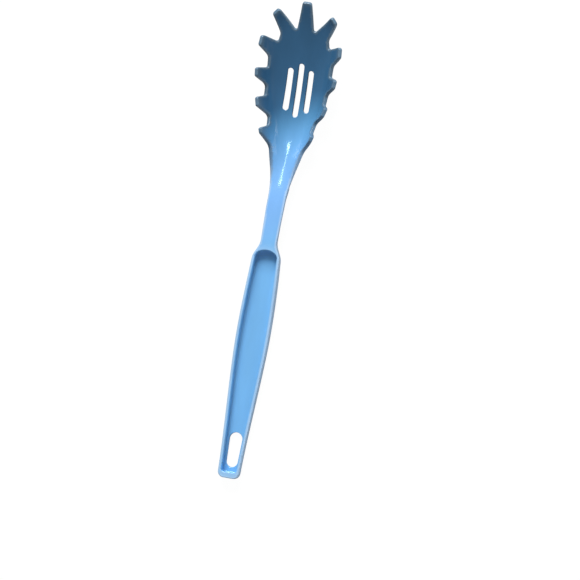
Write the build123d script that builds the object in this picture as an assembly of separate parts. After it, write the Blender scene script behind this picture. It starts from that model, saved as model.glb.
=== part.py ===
from build123d import *
import os
from math import atan2, degrees

import numpy as np

os.makedirs("parts", exist_ok=True)

# A one-piece moulded pasta server. It is drawn along X, with the butt of the handle at zero, the tip tooth at the
# far end and the hollow side up. Heights are first measured from the flat front face of the handle. At the end the
# moulding is turned and moved to the way it lies on a table, on the belly of its bowl and the butt of its handle.

# Lengths along the axis
handle_length = 154.0
neck_length = 36.0
head_length = 130.0

# Handle: an open trough with a rim, rounded shoulders and a blunt butt
butt_width = 14.4
handle_width = 22.0
shoulder_width = 18.8
butt_depth = 8.4
handle_depth = 9.4
shoulder_depth = 8.1
butt_corner = 4.2
shoulder_length = 6.5
back_rounding = 2.6

# Recess in the front of the handle
rim_width = 1.9
butt_rim_width = 3.9
recess_depth = 6.2
recess_corner = 2.2
recess_floor_corner = 0.9
arch_height = 4.8

# Hang slot through the floor of the recess
hang_slot_length = 23.4
hang_slot_wide_end = 8.8
hang_slot_narrow_end = 7.8
hang_slot_web = 3.6

# Neck: a solid bar whose back runs out under the heel as a spine
neck_width = 12.0
neck_depth = 5.4
spine_reach = 44.0
spine_tip_width = 6.4

# Head: a shell of even wall, dished, with its rim drawn up into teeth. The width is that of the front surface
# between the ends of the widest teeth, which their wall stands outside of
wall = 2.5
bowl_width = 52.8
bowl_drop = 13.8
tip_lift = 10.0
tip_tooth_width = 6.1

# Drain slots in the bowl floor
slot_width = 3.8
slot_pitch = 7.0
middle_slot_length = 35.8
side_slot_length = 28.2
slot_set_back = 57.5

# Corner radii of the head in plan: the tooth ends, front and rear, the feet of their flanks, the narrow valleys
# beside the tip tooth, and the flare of the heel
front_end_rounding = 1.6
rear_end_rounding = 2.2
front_foot_rounding = 1.3
rear_foot_rounding = 5.0
first_valley_rounding = 1.2
flare_rounding = 12.0

# How far a cutting solid runs past what it cuts, and how closely the front surface follows its formula
overrun = 40.0
surface_tolerance = 0.002

# Where the handle is widest and deepest, along its length
widest_share = 0.6

# Places in the head are shares of its length and of half the bowl's width. Each side tooth, from front to back, has
# the foot of its front flank, the front and rear of its end, and the foot of its rear flank. The ends lie on the
# guide of the dished surface, so they have no width of their own
first_valley_shares = (0.852, 0.222)
tooth_shares = [
    (None, 0.947, 0.912, (0.828, 0.606)),
    ((0.785, 0.640), 0.808, 0.750, (0.706, 0.800)),
    ((0.648, 0.782), 0.638, 0.592, (0.561, 0.758)),
    ((0.505, 0.735), 0.491, 0.445, (0.408, 0.572)),
    ((0.356, 0.537), 0.333, 0.297, (0.242, 0.415)),
]
flare_shares = [(0.030, 0.232), (0.085, 0.262), (0.140, 0.304), (0.190, 0.353)]

# The dished surface follows a guide on each side, given by place along the head: how far out the guide runs, as a
# share of half the bowl's width, how high the surface stands there above the centre line, as a share of the whole
# rise, and the power of the curl up to it, as a share of the curl at the teeth
curl_power = 4.0
guide_shares = [
    (-0.400, 0.35, 0.00, 0.50),
    (-0.120, 0.33, 0.00, 0.50),
    (0.000, 0.32, 0.01, 0.50),
    (0.100, 0.37, 0.07, 0.50),
    (0.220, 0.49, 0.44, 0.60),
    (0.315, 0.61, 0.73, 0.85),
    (0.468, 0.84, 0.80, 1.00),
    (0.615, 0.98, 0.72, 1.00),
    (0.780, 1.00, 0.51, 1.00),
    (0.915, 0.79, 0.25, 1.00),
    (0.951, 0.64, 0.19, 1.00),
    (1.040, 0.38, 0.10, 1.00),
]
guide_margin_share = 0.06

# The centre line of the front, by place along the head: its fall below the face of the handle, as shares of the
# bowl's drop, then its rise to the tip, as shares of the whole rise
fall_shares = [
    (-0.400, 0.070),
    (-0.230, 0.000),
    (-0.115, -0.065),
    (0.000, -0.160),
    (0.076, -0.305),
    (0.153, -0.500),
    (0.244, -0.750),
    (0.336, -0.935),
    (0.427, -1.000),
]
rise_shares = [(0.550, 0.050), (0.687, 0.220), (0.840, 0.515), (0.931, 0.750), (1.000, 0.980), (1.040, 1.130)]

# The back of the spine: places along its reach and how much of the neck's depth or the wall is left there
spine_middle_shares = (0.55, 0.85)
spine_end_wall_share = 0.6
neck_middle_share = 0.45

# A quarter circle's middle lies this share of its radius in from each side
quarter_middle_share = 1 - 0.5**0.5


def natural_cubic(places, values):
    """Return a function that runs smoothly through the values at the places."""
    places = np.array(places, float)
    values = np.array(values, float)
    gaps = np.diff(places)
    slopes = np.diff(values) / gaps
    count = len(places)
    system = np.eye(count)
    load = np.zeros(count)
    for i in range(1, count - 1):
        system[i, i - 1 : i + 2] = gaps[i - 1], 2 * (gaps[i - 1] + gaps[i]), gaps[i]
        load[i] = 6 * (slopes[i] - slopes[i - 1])
    bends = np.linalg.solve(system, load)

    def value(place):
        i = int(np.clip(np.searchsorted(places, place) - 1, 0, count - 2))
        left = places[i + 1] - place
        right = place - places[i]
        cubes = (bends[i] * left**3 + bends[i + 1] * right**3) / (6 * gaps[i])
        start = (values[i] / gaps[i] - bends[i] * gaps[i] / 6) * left
        end = (values[i + 1] / gaps[i] - bends[i + 1] * gaps[i] / 6) * right
        return float(cubes + start + end)

    return value


# Places and curves that follow from the sizes
head_root_x = handle_length + neck_length
tip_x = head_root_x + head_length
half_bowl = bowl_width / 2
tip_rise = bowl_drop + tip_lift
guide_places = [row[0] for row in guide_shares]
guide_width = natural_cubic(guide_places, [row[1] for row in guide_shares])
guide_rise = natural_cubic(guide_places, [row[2] for row in guide_shares])
guide_power = natural_cubic(guide_places, [row[3] for row in guide_shares])
floor_points = [(place, share * bowl_drop) for place, share in fall_shares]
floor_points += [(place, share * tip_rise - bowl_drop) for place, share in rise_shares]
floor_height = natural_cubic([place for place, height in floor_points], [height for place, height in floor_points])


def along_head(place):
    """Return the X of a place along the head."""
    return head_root_x + place * head_length


def head_point(place, out):
    """Return a plan point of the head from its shares of the head's length and of half the bowl's width."""
    return (along_head(place), out * half_bowl)


def symmetric_face(half_lines):
    """Return the face between connected lines on one side of the axis and their mirror image."""
    edges = [edge for line in half_lines for edge in line.edges()]
    return make_face([*edges, *[edge.mirror(Plane.XZ) for edge in edges]])


def quarter_round(end, radius):
    """Return the plan arc that leads from a square end near the butt into a side that starts at this point."""
    inset = radius * quarter_middle_share
    start = (end[0] - radius, end[1] - radius)
    middle = (start[0] + inset, end[1] - inset)
    return ThreePointArc(start, middle, end)


def front_point(place, across):
    """Return a point of the front surface at a place along the head, across being one at the guide."""
    rise = tip_rise * max(guide_rise(place), 0)
    curl = abs(across) ** (curl_power * guide_power(place))
    return Vector(along_head(place), half_bowl * guide_width(place) * across, floor_height(place) + rise * curl)


def front_surface():
    """Return the front surface of the neck and the head as one smooth face, a little wider than they are."""
    places = np.linspace(guide_places[0], guide_places[-1], 61)
    across = np.linspace(-1 - guide_margin_share, 1 + guide_margin_share, 31)
    rows = [[front_point(float(place), float(step)) for step in across] for place in places]
    return Face.make_surface_from_array_of_points(rows, tol=surface_tolerance)


def head_outline():
    """Return the plan outline of the head, from inside the neck round the eleven teeth and back."""
    corners = [(tip_x, tip_tooth_width / 2), head_point(*first_valley_shares)]
    radii = [front_end_rounding, first_valley_rounding]
    for front_foot, front_end, rear_end, rear_foot in tooth_shares:
        if front_foot is not None:
            corners.append(head_point(*front_foot))
            radii.append(front_foot_rounding)
        corners += [head_point(place, guide_width(place)) for place in (front_end, rear_end)]
        corners.append(head_point(*rear_foot))
        radii += [front_end_rounding, rear_end_rounding, rear_foot_rounding]
    corners += [head_point(*place) for place in reversed(flare_shares)]
    radii += [flare_rounding] * len(flare_shares)
    corners.append((head_root_x - neck_width, neck_width / 4))
    radii.append(0)
    mirrored = [(x, -y) for x, y in corners]
    points = [*reversed(corners), *mirrored]
    return FilletPolyline(*points, radius=[*reversed(radii), *radii], close=True)


def toothed_head(front):
    """Return the head as a sheet of even wall behind the front surface, with its edges square to the surface."""
    prism = extrude(make_face(head_outline()), amount=overrun, both=True)
    return Solid.thicken(front & prism, -wall)


def handle_side(inset):
    """Return three plan points along one side of the handle, moved inwards by the inset."""
    half_widths = [butt_width / 2, handle_width / 2, shoulder_width / 2]
    places = [butt_corner, widest_share * handle_length, handle_length - shoulder_length]
    return [(x, half_width - inset) for x, half_width in zip(places, half_widths)]


def bulged_side(start, middle, end):
    """Return the slightly swelling side of the handle or of its recess."""
    return Spline(start, middle, end, tangents=[(1, 0.02), (1, -0.05)])


def handle_plan():
    """Return the plan face of the handle, the neck and the spine."""
    start, middle, shoulder = handle_side(0)
    waist = (handle_length + shoulder_length, neck_width / 2)
    neck_end = (head_root_x, neck_width / 2)
    spine_end = (head_root_x + spine_reach, spine_tip_width / 2)
    corner = quarter_round(start, butt_corner)
    half_lines = [
        Line((0, 0), corner @ 0),
        corner,
        bulged_side(start, middle, shoulder),
        Spline(shoulder, waist, tangents=[(1, -0.05), (1, 0)], tangent_scalars=[0.6, 1.1]),
        Line(waist, neck_end),
        Spline(neck_end, spine_end, tangents=[(1, 0), (1, -0.2)]),
        Line(spine_end, (spine_end[0], 0)),
    ]
    return symmetric_face(half_lines)


def back_line():
    """Return the side profile of the back, from the butt to where the spine runs out under the heel."""
    neck_middle_x = handle_length + neck_middle_share * neck_length
    neck_middle = (neck_middle_x - head_root_x) / head_length
    spine_end = spine_reach / head_length
    spine_middle = spine_middle_shares[0] * spine_end
    points = [
        (0, -butt_depth),
        (widest_share * handle_length, -handle_depth),
        (handle_length, -shoulder_depth),
        (neck_middle_x, floor_height(neck_middle) - neck_depth),
        (head_root_x, floor_height(0) - neck_depth),
        (along_head(spine_middle), floor_height(spine_middle) - spine_middle_shares[1] * neck_depth),
        (along_head(spine_end), floor_height(spine_end) - spine_end_wall_share * wall),
    ]
    return Spline([(x, 0, z) for x, z in points])


def handle_and_spine(front):
    """Return the handle, neck and spine as a solid bar with a rounded back, trimmed to the front surface."""
    back = back_line()
    start = back @ 0
    end = back @ 1
    top = Polyline(end, (end.X, 0, 0), (start.X, 0, 0), start)
    side_view = make_face([*back.edges(), *top.edges()])
    bar = extrude(handle_plan(), amount=overrun, both=True) & extrude(side_view, amount=overrun, both=True)
    back_face = bar.faces().sort_by(Axis.Z)[0]
    edges = [edge for edge in back_face.edges() if edge.center().X < end.X - spine_tip_width / 4]
    bar = fillet(edges, back_rounding)
    return bar - extrude(front, amount=overrun, dir=(0, 0, 1))


def recess():
    """Return the solid that hollows the handle from its front, square at the butt and arched at the neck."""
    side_start, middle, side_end = handle_side(rim_width)
    arch_x = handle_length - arch_height
    start = (butt_rim_width + recess_corner, side_start[1])
    corner = quarter_round(start, recess_corner)
    half_lines = [
        Line((butt_rim_width, 0), corner @ 0),
        corner,
        bulged_side(start, middle, (arch_x, side_end[1])),
        EllipticalCenterArc((arch_x, 0), arch_height, side_end[1], start_angle=0, arc_size=90),
    ]
    tool = Pos(0, 0, -recess_depth) * extrude(symmetric_face(half_lines), amount=overrun)
    floor_edges = tool.faces().sort_by(Axis.Z)[0].edges()
    return fillet(floor_edges, recess_floor_corner)


def hang_slot():
    """Return the solid that cuts the hang slot, wider towards the neck."""
    narrow = hang_slot_narrow_end / 2
    wide = hang_slot_wide_end / 2
    slot_start = butt_rim_width + hang_slot_web
    slot_end = slot_start + hang_slot_length
    ends = Pos(slot_start + narrow, 0) * Circle(narrow) + Pos(slot_end - wide, 0) * Circle(wide)
    return extrude(make_hull(ends.edges()), amount=overrun, both=True)


def drain_slots():
    """Return the solids that cut the three slots through the bowl floor."""
    slots = []
    for row, length in ((-1, side_slot_length), (0, middle_slot_length), (1, side_slot_length)):
        plan = Pos(tip_x - slot_set_back, row * slot_pitch) * SlotOverall(length, slot_width)
        slots.append(extrude(plan, amount=overrun, both=True))
    return slots


def laid_down(moulding):
    """Return the moulding turned to lie on its bowl and its butt, with the middle of its footprint at zero."""
    bowl_low_x = along_head(fall_shares[-1][0])
    rest_angle = degrees(atan2(bowl_drop + wall - butt_depth, bowl_low_x))
    lying = Rot(0, -rest_angle, 0) * moulding
    box = lying.bounding_box()
    return Pos(-box.center().X, 0, -box.min.Z) * lying


front_face = front_surface()
pasta_server = toothed_head(front_face) + handle_and_spine(front_face)
pasta_server = pasta_server - recess() - hang_slot() - drain_slots()
pasta_server = laid_down(pasta_server)
export_step(pasta_server, "parts/pasta_server.step")
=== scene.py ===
"""A one-piece moulded pasta server on a white table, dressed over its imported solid.

The moulding is worked out in the drawing frame of its solid: millimetres, X from the butt of the handle to
the tip tooth, Y across, Z up out of the hollow side, heights from the flat front face of the handle. The
finished mesh is then laid down the way the solid lies, in metres.
"""

import logging
from collections.abc import Callable
from dataclasses import dataclass, field
from enum import Enum
from math import atan2, cos, pi, radians, sin

import bpy
import numpy as np
from mathutils import Matrix, Vector
from mathutils.geometry import delaunay_2d_cdt

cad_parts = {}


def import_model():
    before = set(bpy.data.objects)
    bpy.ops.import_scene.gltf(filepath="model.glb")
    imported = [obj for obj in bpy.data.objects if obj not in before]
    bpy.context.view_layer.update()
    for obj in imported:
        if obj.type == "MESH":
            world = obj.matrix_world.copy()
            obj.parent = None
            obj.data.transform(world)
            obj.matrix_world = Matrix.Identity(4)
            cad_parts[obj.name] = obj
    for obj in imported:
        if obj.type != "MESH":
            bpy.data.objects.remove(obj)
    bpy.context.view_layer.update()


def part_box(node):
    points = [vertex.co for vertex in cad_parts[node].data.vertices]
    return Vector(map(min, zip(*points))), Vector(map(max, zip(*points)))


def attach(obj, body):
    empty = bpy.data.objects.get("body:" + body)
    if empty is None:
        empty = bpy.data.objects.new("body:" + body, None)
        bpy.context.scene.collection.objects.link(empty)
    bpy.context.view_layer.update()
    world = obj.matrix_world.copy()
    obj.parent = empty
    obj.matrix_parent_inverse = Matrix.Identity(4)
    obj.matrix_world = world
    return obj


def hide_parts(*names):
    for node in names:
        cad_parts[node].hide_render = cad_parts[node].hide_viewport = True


LOG = logging.getLogger("pasta_server")
MM = 0.001
NODE = "pasta_server"

# How far to each side a surface is looked at for its slope, in millimetres.
SLOPE_STEP = 0.02
# How many blocks a long list of points is compared in, so that the comparison takes little memory.
BLOCKS = 16
# The kind of triangulation that fills what the loops enclose and leaves their holes out.
FILL_BUT_HOLES = 2
# How near two points are one to the triangulation, in millimetres.
SAME_PLACE = 1e-7

Array = np.ndarray
Span = tuple[float, float]
Point = Array | tuple[float, float]
Triple = tuple[float, float, float]
# A loop's plan points and their numbers in the mesh.
Loop = tuple[Array, Array]


class Side(Enum):
    """Which way the triangles of a filled region face."""

    UP = 1
    DOWN = -1


class SmoothRun:
    """A natural cubic through values at places, held level past its ends."""

    def __init__(self, places: list[float], values: list[float]) -> None:
        """Solve for the bends at the places.

        They are zero at both ends, and between them each cubic runs on at the slope of the one before.

        Args:
            places: rising places along the run.
            values: the value at each place.
        """
        self.places = np.array(places, float)
        self.values = np.array(values, float)
        self.gaps = np.diff(self.places)
        slopes = np.diff(self.values) / self.gaps
        system = np.eye(len(places))
        inner = np.arange(1, len(places) - 1)
        system[inner, inner - 1] = self.gaps[:-1]
        system[inner, inner] = 2 * (self.gaps[:-1] + self.gaps[1:])
        system[inner, inner + 1] = self.gaps[1:]
        load = np.zeros(len(places))
        load[inner] = 6 * np.diff(slopes)
        self.bends = np.linalg.solve(system, load)

    def __call__(self, place: Array) -> Array:
        """Return the values at an array of places.

        That is a straight line in each gap, and the cubed distance to each end times the other's bend.

        Args:
            place: the places, which are held to the ends of the run.

        Returns:
            The value at each.
        """
        place = np.clip(place, self.places[0], self.places[-1])
        i = np.clip(np.searchsorted(self.places, place) - 1, 0, len(self.gaps) - 1)
        left = self.places[i + 1] - place
        right = place - self.places[i]
        gap = self.gaps[i]
        cubes = (self.bends[i] * left**3 + self.bends[i + 1] * right**3) / (6 * gap)
        start = (self.values[i] / gap - self.bends[i] * gap / 6) * left
        end = (self.values[i + 1] / gap - self.bends[i + 1] * gap / 6) * right
        return cubes + start + end


def smooth_step(low: float, high: float, value: Array) -> Array:
    """Return zero below low, one above high, and a smooth cubic rise between."""
    share = np.clip((value - low) / (high - low), 0, 1)
    return share * share * (3 - 2 * share)


def soft_max(first: Array, second: Array, softness: float) -> Array:
    """Return the larger of two arrays, with the crossing rounded over the softness."""
    return (first + second + np.hypot(first - second, softness)) / 2


def unit(vectors: Array) -> Array:
    """Return rows scaled to length one."""
    return vectors / np.linalg.norm(vectors, axis=-1, keepdims=True)


def quarter_turn(steps: int) -> Array:
    """Return angles set evenly from zero to a right angle."""
    return np.linspace(0, pi / 2, steps)


def hermite(start: Point, end: Point, start_slope: Point, end_slope: Point, count: int) -> Array:
    """Return points of the cubic that leaves the start and meets the end with the given slopes.

    Args:
        start: the first plan point.
        end: the last plan point.
        start_slope: the curve's rate at the start.
        end_slope: the curve's rate at the end.
        count: how many points.

    Returns:
        The points, one row each.
    """
    t = np.linspace(0, 1, count)[:, None]
    weights = (2 * t**3 - 3 * t**2 + 1, t**3 - 2 * t**2 + t, 3 * t**2 - 2 * t**3, t**3 - t**2)
    terms = (np.array(start), np.array(start_slope), np.array(end), np.array(end_slope))
    return sum(weight * term for weight, term in zip(weights, terms))


def rounded_corners(corners: Array, radii: Array, steps: int) -> Array:
    """Return a polyline whose inner corners are arcs.

    Each arc turns a unit radius vector evenly from the square of one side to the square of the next.

    Args:
        corners: the corner points in order.
        radii: the radius at each inner corner.
        steps: the points on each arc.

    Returns:
        The first corner, every arc and the last corner, one row per point.
    """
    here = corners[1:-1]
    back = unit(corners[:-2] - here)
    ahead = unit(corners[2:] - here)
    half = np.arccos(np.clip((back * ahead).sum(1), -1, 1)) / 2
    reach = radii / np.tan(half)
    centre = here + unit(back + ahead) * (radii / np.sin(half))[:, None]
    first = (here + back * reach[:, None] - centre) / radii[:, None]
    last = (here + ahead * reach[:, None] - centre) / radii[:, None]
    turn = (pi - 2 * half)[:, None, None]
    share = np.linspace(0, 1, steps)[None, :, None]
    leaving = np.sin((1 - share) * turn) * first[:, None]
    meeting = np.sin(share * turn) * last[:, None]
    arcs = centre[:, None] + radii[:, None, None] * ((leaving + meeting) / np.sin(turn))
    return np.vstack([corners[:1], arcs.reshape(-1, 2), corners[-1:]])


def slot_side(near_x: float, near_radius: float, far_x: float, far_radius: float, steps: int) -> Array:
    """Return one side of a slot: a quarter circle at either end, and a straight side between.

    Args:
        near_x: where the near circle has its centre.
        near_radius: the radius there.
        far_x: where the far circle has its centre.
        far_radius: the radius there.
        steps: the points on each quarter circle.

    Returns:
        The plan points, one row each.
    """
    turn = quarter_turn(steps)[:, None]
    near = np.hstack([near_x - near_radius * np.cos(turn), near_radius * np.sin(turn)])
    far = np.hstack([far_x + far_radius * np.sin(turn), far_radius * np.cos(turn)])
    return np.vstack([near, far])


def evenly_spaced(line: Array, step: float) -> Array:
    """Return an open line set out again at even lengths along itself.

    Args:
        line: its plan points.
        step: about how far apart the new points are.

    Returns:
        The new points, with both ends kept.
    """
    lengths = np.concatenate([[0], np.cumsum(np.linalg.norm(np.diff(line, axis=0), axis=1))])
    places = np.linspace(0, lengths[-1], int(round(lengths[-1] / step)) + 1)
    return np.column_stack([np.interp(places, lengths, line[:, k]) for k in range(2)])


def mirrored_loop(half: Array, step: float) -> Array:
    """Return the anticlockwise loop of a line on the +Y side, from low to high X, and its mirror image."""
    half = evenly_spaced(half, step)
    return np.vstack([half * (1, -1), half[-2:0:-1]])


def inside(points: Array, loops: list[Array]) -> Array:
    """Return which points lie inside: those that an odd number of the loops' edges pass on the +X side.

    Args:
        points: plan points, one row each.
        loops: the plan points of each loop.

    Returns:
        True or false for each point.
    """
    starts = np.vstack(loops)
    ends = np.vstack([np.roll(loop, -1, axis=0) for loop in loops])
    held = []
    for block in np.array_split(points, BLOCKS):
        x = block[:, :1]
        y = block[:, 1:]
        spans = (starts[:, 1] > y) != (ends[:, 1] > y)
        rise = np.where(ends[:, 1] == starts[:, 1], 1, ends[:, 1] - starts[:, 1])
        cross = starts[:, 0] + (y - starts[:, 1]) * (ends[:, 0] - starts[:, 0]) / rise
        held.append((spans & (cross > x)).sum(1) % 2 == 1)
    return np.concatenate(held)


def clear_of(points: Array, others: Array, gap: float) -> Array:
    """Return which points lie clear of others, by the distance to the nearest.

    Args:
        points: plan points, one row each.
        others: the plan points that they keep clear of.
        gap: the least distance.

    Returns:
        True or false for each point.
    """
    blocks = np.array_split(points, BLOCKS)
    near = [np.hypot(*(block[:, None] - others).transpose(2, 0, 1)).min(1) for block in blocks]
    return np.concatenate(near) >= gap


def facing(surface: Callable[[Array], Array], plan: Array) -> Array:
    """Return the upward normals of a surface: its run along X crossed with its run along Y.

    Args:
        surface: gives the points of the surface over plan points.
        plan: plan points, one row each.

    Returns:
        The normal at each, of length one.
    """
    east = surface(plan + (SLOPE_STEP, 0)) - surface(plan - (SLOPE_STEP, 0))
    north = surface(plan + (0, SLOPE_STEP)) - surface(plan - (0, SLOPE_STEP))
    return unit(np.cross(east, north))


def rim_arc(top: Array, inwards: Array, down: Array, radius: float, angles: Array) -> list[Array]:
    """Return the rings of a quarter circle that rounds the upper edge of a wall.

    Args:
        top: the points of the sharp edge.
        inwards: the way along the surface into the material, at each.
        down: the way down the wall, at each.
        radius: the radius.
        angles: how far each ring has turned, from none on the surface to a right angle on the wall.

    Returns:
        One ring for each angle.
    """
    return [top + inwards * radius * (1 - sin(a)) + down * radius * (1 - cos(a)) for a in angles]


def foot_arc(
    top: Array, away: Array, down: Array, depth: Array | float, radius: Array, angles: Array
) -> list[Array]:
    """Return the rings of a quarter circle that rounds the foot of a wall.

    Args:
        top: the points of the sharp edge over the wall.
        away: the way from the wall that the surface at its foot takes, at each.
        down: the way down the wall, at each.
        depth: how far down the wall ends.
        radius: the radius at each.
        angles: how far each ring has turned, from none on the wall to a right angle on the surface.

    Returns:
        One ring for each angle.
    """
    return [top + away * radius * (1 - cos(a)) + down * (depth - radius * (1 - sin(a))) for a in angles]


@dataclass
class Handle:
    """The handle, a trough with rounded shoulders, and the neck and spine behind it, in millimetres."""

    length: float = 154.0
    neck_length: float = 36.0
    butt_width: float = 14.4
    widest_width: float = 22.0
    shoulder_width: float = 18.8
    widest_share: float = 0.6
    butt_depth: float = 8.4
    widest_depth: float = 9.4
    shoulder_depth: float = 8.1
    butt_corner: float = 4.2
    shoulder_length: float = 6.5
    back_rounding: float = 2.6
    rim_width: float = 1.9
    butt_rim_width: float = 3.9
    recess_depth: float = 6.2
    recess_corner: float = 2.2
    recess_floor_corner: float = 0.9
    arch_height: float = 4.8
    slot_length: float = 23.4
    slot_wide_end: float = 8.8
    slot_narrow_end: float = 7.8
    slot_web: float = 3.6
    waist_width: float = 10.8
    neck_width: float = 12.0
    neck_depth: float = 5.4
    spine_reach: float = 44.0
    spine_tip_width: float = 6.4
    # The side's slope at the butt, its rates along and outwards before and after the widest place, and its
    # fall at the shoulder.
    butt_swell: float = 0.02
    rate_before_widest: Span = (80.0, 1.2)
    rate_after_widest: Span = (55.0, 0.6)
    shoulder_fall: float = -2.7
    # The shoulder's rates at the side and at the neck, in shares of its own length.
    shoulder_leave: Span = (1.15, -0.05)
    shoulder_meet: Span = (1.3, 0.0)
    # Where the middles of neck and spine lie, in shares of their lengths, how deep the spine is there and at
    # its tip, in shares of the neck's depth and the head's wall, how its narrowing bends, and the slope at
    # which the line of the back leaves the head past it.
    neck_middle: float = 0.45
    spine_middle: float = 0.55
    spine_middle_depth: float = 0.85
    spine_tip_depth: float = 0.6
    spine_taper: float = 0.7
    past_spine: float = 0.4

    def side(self, inset: float, far_x: float) -> Array:
        """Return the swelling side as points from the butt corner to a far X, moved inwards.

        The half width is a cubic of X through the butt, the widest place and the shoulder.

        Args:
            inset: how far in from the outside the side lies.
            far_x: where the side ends.

        Returns:
            The plan points, one row each.
        """
        start = (self.butt_corner, self.butt_width / 2)
        widest = (self.widest_share * self.length, self.widest_width / 2)
        end = (far_x, self.shoulder_width / 2)
        swell = widest[0] - start[0]
        fall = self.length - self.shoulder_length - widest[0]
        first = hermite(start, widest, (swell, self.butt_swell * swell), self.rate_before_widest, count=60)
        rest = hermite(widest, end, self.rate_after_widest, (fall, self.shoulder_fall), count=40)
        return np.vstack([first, rest[1:]]) - (0, inset)

    def butt_end(self, x: float, side: Array, radius: float, steps: int) -> Array:
        """Return the line from the middle of a square butt round its corner to a side.

        Args:
            x: where the butt lies.
            side: the side that it runs into.
            radius: the radius of the corner.
            steps: the points on the corner.

        Returns:
            The plan points, one row each.
        """
        corners = np.array([(x, 0), (x, side[0][1]), tuple(side[0] + (1, 0))])
        return rounded_corners(corners, np.array([radius]), steps)[:-1]

    def outline(self) -> Array:
        """Return one side of the plan from the middle of the butt, over the shoulder, to the neck.

        Returns:
            The plan points: a square butt, the swelling side, and a cubic from the shoulder into the waist.
        """
        side = self.side(0, self.length - self.shoulder_length)
        waist = (self.length + self.shoulder_length, self.waist_width / 2)
        butt = self.butt_end(0, side, self.butt_corner, steps=12)
        reach = waist[0] - side[-1][0]
        leave = reach * np.array(self.shoulder_leave)
        meet = reach * np.array(self.shoulder_meet)
        shoulder = hermite(side[-1], waist, leave, meet, count=24)
        return np.vstack([butt, side[1:], shoulder[1:]])

    def recess_outline(self) -> Array:
        """Return one side of the recess.

        Returns:
            The plan points: a square butt, the side moved in by the rim, and a quarter ellipse at the neck.
        """
        arch_x = self.length - self.arch_height
        side = self.side(self.rim_width, arch_x)
        side = side[side[:, 0] > self.butt_rim_width + self.recess_corner]
        butt = self.butt_end(self.butt_rim_width, side, self.recess_corner, steps=10)
        turn = quarter_turn(24)[1:, None]
        arch = np.hstack([arch_x + self.arch_height * np.sin(turn), side[-1][1] * np.cos(turn)])
        return np.vstack([butt, side[1:], arch])

    def hang_slot_outline(self) -> Array:
        """Return one side of the hang slot, which is wider at the end towards the neck.

        Returns:
            The plan points, one row each.
        """
        narrow = self.slot_narrow_end / 2
        wide = self.slot_wide_end / 2
        start = self.butt_rim_width + self.slot_web
        return slot_side(start + narrow, narrow, start + self.slot_length - wide, wide, steps=16)

    def spine_half_width(self, x: Array) -> Array:
        """Return half the width of the bar's back: level along the neck, a narrowing cubic under the heel.

        Args:
            x: places along the tool.

        Returns:
            The half width at each.
        """
        share = np.clip((x - self.length - self.neck_length) / self.spine_reach, 0, 1)
        narrowing = (self.neck_width - self.spine_tip_width) / 2
        return self.neck_width / 2 - narrowing * share**2 * (1 + self.spine_taper - self.spine_taper * share)


@dataclass(frozen=True)
class Tooth:
    """One tooth on a side. Its ends are places on the guide, and its feet are a place and a share across.

    The foremost has no front foot of its own, because the valley beside the tip tooth is there.
    """

    front_foot: Span | None
    front_end: float
    rear_end: float
    rear_foot: Span


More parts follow.
